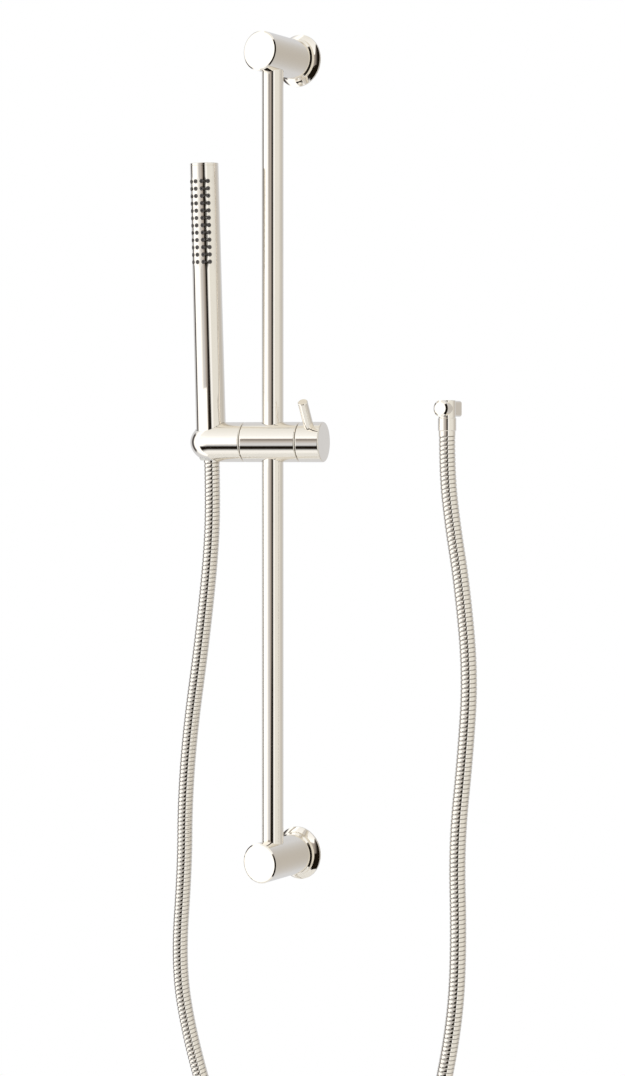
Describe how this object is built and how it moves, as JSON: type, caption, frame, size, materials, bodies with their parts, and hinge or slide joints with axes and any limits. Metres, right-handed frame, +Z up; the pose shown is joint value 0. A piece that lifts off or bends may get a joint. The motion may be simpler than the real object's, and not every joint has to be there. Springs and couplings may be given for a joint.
{
  "type": "slide bar hand shower",
  "caption": "Wall slide bar with round posts, swivelling slider and clamp lever, slim stick hand shower and a corrugated metal hose to a wall elbow.",
  "frame": {"origin": "centre of the lower post's wall face", "axes": "+Z up along the slide bar, +Y into the wall, +X to the right along the wall"},
  "size_m": [0.3005, 0.0871, 1.0565],
  "materials": {
    "polished_nickel": "polished, warm nickel plate",
    "hose_metal": "polished interlocked strip",
    "brass": "turned",
    "stainless_steel": "plain",
    "black_rubber": "matt",
    "nozzle_silicone": "matt silicone",
    "nylon": "moulded",
    "hose_liner": "smooth"
  },
  "bodies": {
    "root": {"lower_post": "polished_nickel", "upper_post": "polished_nickel", "lower_wall_flange": "polished_nickel", "upper_wall_flange": "polished_nickel", "lower_wall_gasket": "black_rubber", "upper_wall_gasket": "black_rubber", "lower_wall_anchor": "brass", "upper_wall_anchor": "brass", "post_grub_screws": "stainless_steel", "bar_lock_screws": "stainless_steel", "slide_bar": "polished_nickel", "bar_end_plugs": "nylon", "elbow_body": "polished_nickel", "elbow_front_cap": "polished_nickel", "outlet_seal": "black_rubber", "hose": "hose_metal", "hose_inner_tube": "hose_liner"},
    "slider_collar": {"slider_liner": "nylon"},
    "slider": {"slider_body": "polished_nickel", "knob_retaining_ring": "stainless_steel", "holder_pivot_bolt": "stainless_steel", "holder_spring_washer": "stainless_steel", "holder_friction_washer": "nylon"},
    "clamp_screw": {"brake_pad": "nylon", "clamp_spindle": "brass"},
    "knob": {"clamp_knob": "polished_nickel", "clamp_lever": "polished_nickel"},
    "holder": {"holder_shell": "polished_nickel", "holder_insert": "nylon", "handset_ferrule": "polished_nickel", "handset_hose_tail": "brass"},
    "handset": {"handset_tube": "polished_nickel", "handset_top_cap": "polished_nickel", "top_cap_o_ring": "black_rubber", "nozzle_strip": "nozzle_silicone", "spray_chamber": "nylon", "inner_waterway": "nylon", "inlet_connector": "brass", "flow_regulator": "nylon", "filter_washer": "black_rubber", "hose_nut": "polished_nickel"},
    "outlet_swivel": {"outlet_nut": "polished_nickel", "outlet_ferrule": "polished_nickel", "outlet_hose_tail": "brass"}
  },
  "joints": [
    {"name": "slider_slide", "type": "slide", "parent": "root", "child": "slider_collar", "axis": [0, 0, 1], "range_m": [-0.328, 0.303], "deforming": ["hose", "hose_inner_tube"]},
    {"name": "slider_swivel", "type": "hinge", "parent": "slider_collar", "child": "slider", "pos_m": [0, -0.042, 0.366], "axis": [0, 0, 1], "range_deg": [-36, 13]},
    {"name": "holder_tilt", "type": "hinge", "parent": "slider", "child": "holder", "pos_m": [0, -0.042, 0.366], "axis": [0.9613, 0.2756, 0], "range_deg": [-4.1, 40]},
    {"name": "handset_turn", "type": "hinge", "parent": "holder", "child": "handset", "pos_m": [-0.05527, -0.05785, 0.366], "axis": [0.0197, -0.0687, 0.9974], "continuous": true},
    {"name": "knob_turn", "type": "hinge", "parent": "slider", "child": "knob", "pos_m": [0, -0.042, 0.366], "axis": [0.9613, 0.2756, 0], "range_deg": [0, 90]},
    {"name": "clamp_travel", "type": "slide", "parent": "slider", "child": "clamp_screw", "axis": [0.9613, 0.2756, 0], "range_m": [0, 0.0004]},
    {"name": "outlet_turn", "type": "hinge", "parent": "root", "child": "outlet_swivel", "pos_m": [0.16, -0.0129, 0.38], "axis": [0, 0, 1], "continuous": true}
  ],
  "couplings": [
    {"joint": "clamp_travel", "follows": "knob_turn", "m_per_rad": 0.0002387}
  ]
}
